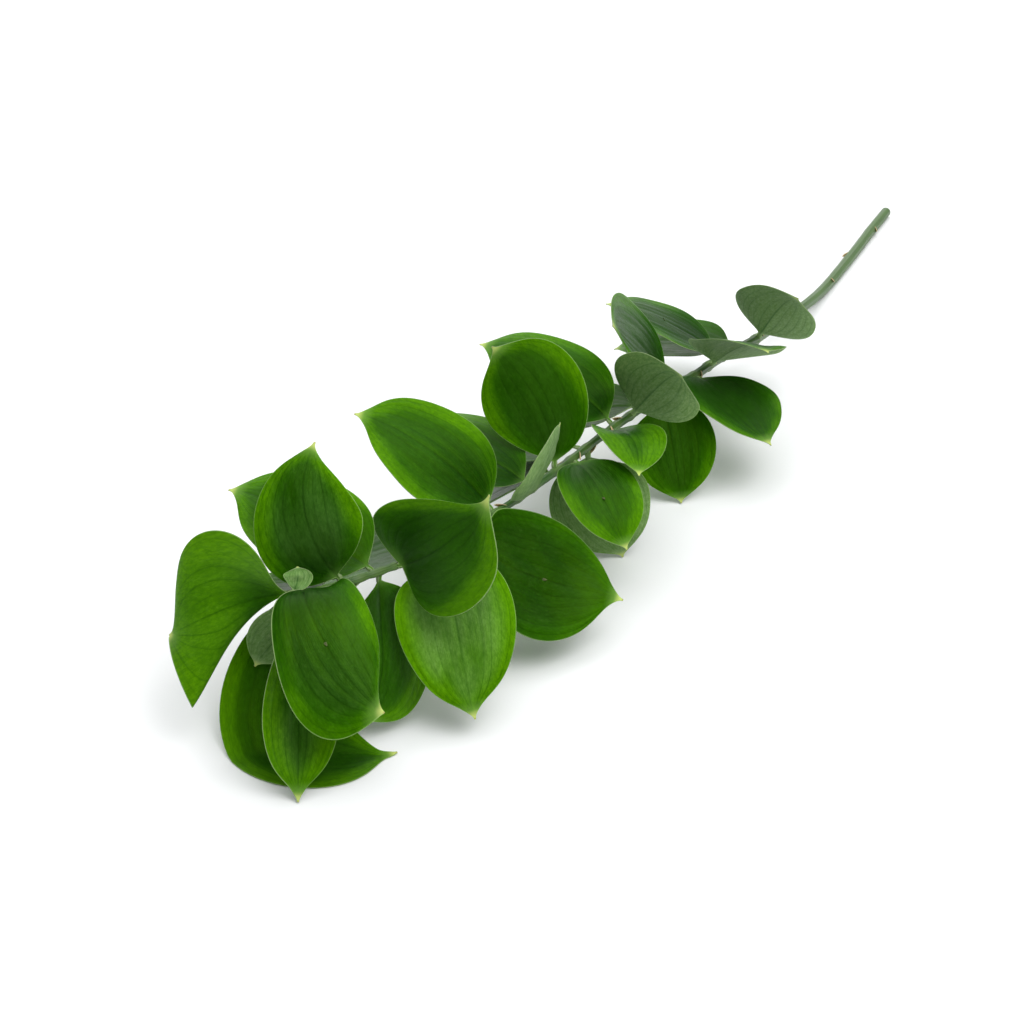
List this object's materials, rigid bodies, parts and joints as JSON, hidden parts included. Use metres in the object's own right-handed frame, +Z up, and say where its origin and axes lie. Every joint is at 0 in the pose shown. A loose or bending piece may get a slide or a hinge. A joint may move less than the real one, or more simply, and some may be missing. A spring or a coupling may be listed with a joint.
{
  "type": "dried ruscus stem",
  "caption": "Cut ruscus stem lying on a table, with broad, pointed, leathery leaves along it, papery scales and a crowded growing end.",
  "frame": {"origin": "on the table, under the middle of the whole stem's box", "axes": "+X along the stem from its cut end to its growing end, +Y to the side, +Z up from the table"},
  "size_m": [0.6196, 0.1266, 0.1093],
  "materials": {
    "stem": "satin, green, smooth, with tan papery scales",
    "leaf": "satin, leathery, with fine veins along the blade",
    "young_leaf": "matte, pale green with a tan edge"
  },
  "bodies": {
    "root": {"stem": "stem", "leaf_01": "leaf", "leaf_02": "leaf", "leaf_03": "leaf", "leaf_04": "leaf", "leaf_05": "leaf", "leaf_06": "leaf", "leaf_07": "leaf", "leaf_08": "leaf", "leaf_09": "leaf", "leaf_10": "leaf", "leaf_11": "leaf", "leaf_12": "leaf", "leaf_13": "leaf", "leaf_14": "leaf", "leaf_15": "leaf", "leaf_16": "leaf", "leaf_17": "leaf", "leaf_18": "leaf", "leaf_19": "leaf", "leaf_20": "leaf", "leaf_21": "leaf", "leaf_22": "leaf", "leaf_23": "leaf", "leaf_24": "leaf", "leaf_25": "leaf", "leaf_26": "leaf", "leaf_27": "leaf", "leaf_28": "leaf", "leaf_29": "leaf", "leaf_30": "leaf", "leaf_31": "leaf", "leaf_32": "leaf", "young_leaf": "young_leaf"}
  },
  "joints": []
}
